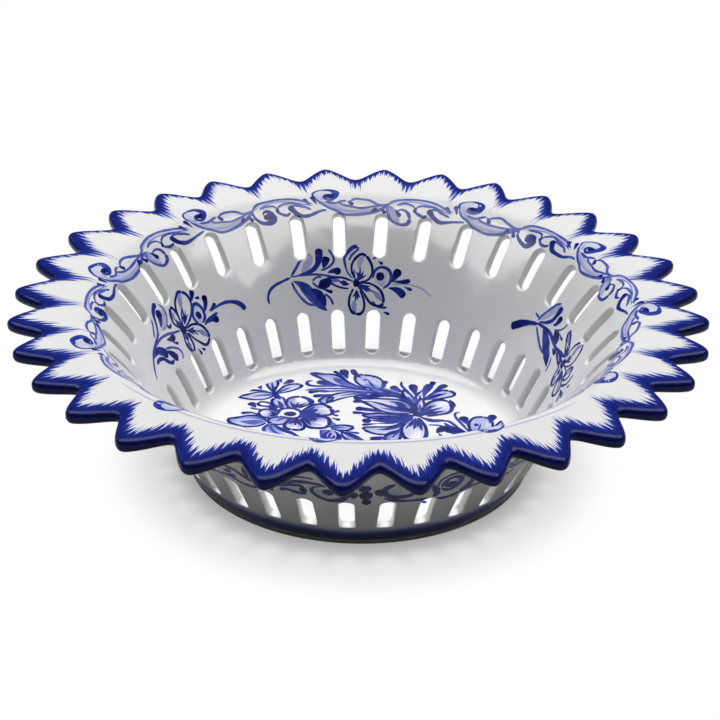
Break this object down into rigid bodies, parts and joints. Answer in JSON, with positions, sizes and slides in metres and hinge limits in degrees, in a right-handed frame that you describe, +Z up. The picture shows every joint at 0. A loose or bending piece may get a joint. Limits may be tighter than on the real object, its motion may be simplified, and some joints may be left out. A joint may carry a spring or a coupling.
{
  "type": "fruit bowl",
  "caption": "Round glazed earthenware fruit bowl with a slotted bell-shaped wall, a flat floor on a low foot ring and a wide flange cut into points.",
  "frame": {"origin": "centre of the foot ring's underside, on the surface that the bowl stands on", "axes": "+Z up along the bowl's axis, +X through the tip of one point of the rim"},
  "size_m": [0.3, 0.3, 0.0756],
  "materials": {
    "white_glaze": "gloss",
    "cobalt_glaze": "gloss",
    "bare_clay": "matte"
  },
  "bodies": {
    "root": {"foot_ring": "bare_clay", "floor_disc": "white_glaze", "pierced_wall": "white_glaze", "pointed_rim": "cobalt_glaze"}
  },
  "joints": []
}
